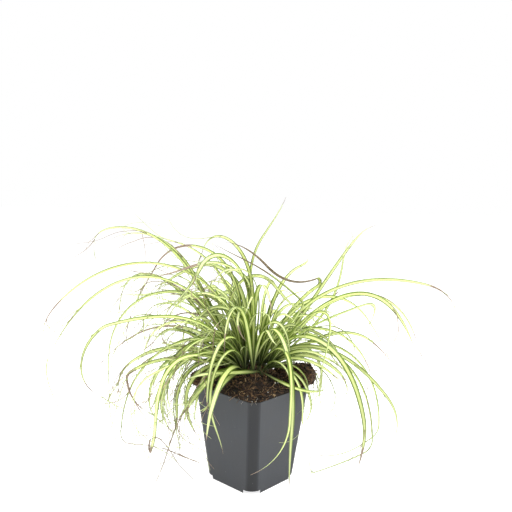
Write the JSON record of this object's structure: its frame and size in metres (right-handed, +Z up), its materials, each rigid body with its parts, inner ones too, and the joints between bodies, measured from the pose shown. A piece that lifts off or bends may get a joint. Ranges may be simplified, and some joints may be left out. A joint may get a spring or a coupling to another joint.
{
  "type": "variegated carex sedge in a square nursery pot",
  "caption": "Tuft of arching, pale-striped sedge leaves growing from a mound of potting mix in a square, tapered plastic nursery pot.",
  "frame": {"origin": "on the ground under the middle of the pot, at the flat face of its centre foot", "axes": "+Z up along the pot's axis; one corner of the pot faces -Y, the side the plant is seen from; +X to the right from there"},
  "size_m": [0.4476, 0.4078, 0.2954],
  "materials": {
    "pot_plastic": "satin",
    "mix": "rough",
    "leaf": "satin"
  },
  "bodies": {
    "root": {"pot": "pot_plastic", "potting_mix": "mix", "shoot_01": "leaf", "shoot_02": "leaf", "shoot_03": "leaf", "shoot_04": "leaf", "shoot_05": "leaf", "shoot_06": "leaf", "shoot_07": "leaf", "shoot_08": "leaf", "shoot_09": "leaf", "shoot_10": "leaf", "shoot_11": "leaf", "shoot_12": "leaf", "shoot_13": "leaf", "shoot_14": "leaf", "shoot_15": "leaf", "shoot_16": "leaf", "shoot_17": "leaf"}
  },
  "joints": []
}
